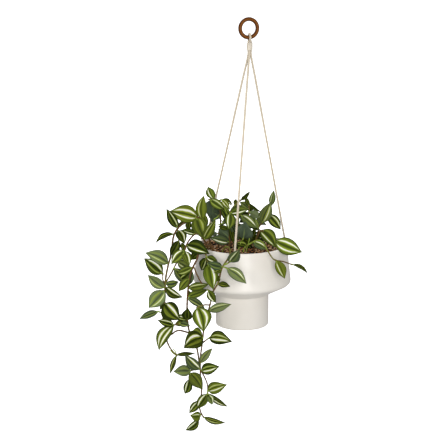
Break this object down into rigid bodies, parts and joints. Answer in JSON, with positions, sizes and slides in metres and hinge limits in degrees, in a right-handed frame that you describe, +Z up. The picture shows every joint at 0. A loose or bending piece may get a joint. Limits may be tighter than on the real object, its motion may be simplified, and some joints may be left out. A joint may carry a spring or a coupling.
{
  "type": "hanging potted tradescantia",
  "caption": "Hanging glazed pot with a wide bowl over a narrow foot, on cords from a wooden ring, planted with a trailing striped tradescantia.",
  "frame": {"origin": "inside top of the ring's eye, where the hook bears", "axes": "+Z up, +X to the viewer's right, +Y away from the viewer"},
  "size_m": [0.3062, 0.2657, 0.7444],
  "materials": {
    "ring_wood": "oiled red-brown hardwood",
    "cord": "cream twisted cotton cord",
    "glaze": "satin warm white glaze",
    "soil": "dark potting mix",
    "granules": "dry brown and tan granules",
    "foliage": "satin green leaves with cream stripes, on olive stems"
  },
  "bodies": {
    "root": {"hanging_ring": "ring_wood", "cord_left_and_right": "cord", "cord_front": "cord", "whipping_thread": "cord", "pot": "glaze", "soil": "soil", "granules": "granules", "trailing_stems_left": "foliage", "trailing_stems_front": "foliage", "trailing_stem_right": "foliage", "crown_stem_left": "foliage", "crown_stem_front": "foliage", "crown_stem_back": "foliage", "crown_stems_right": "foliage", "back_stem_left": "foliage", "back_stem_middle": "foliage", "back_stem_right": "foliage"}
  },
  "joints": []
}
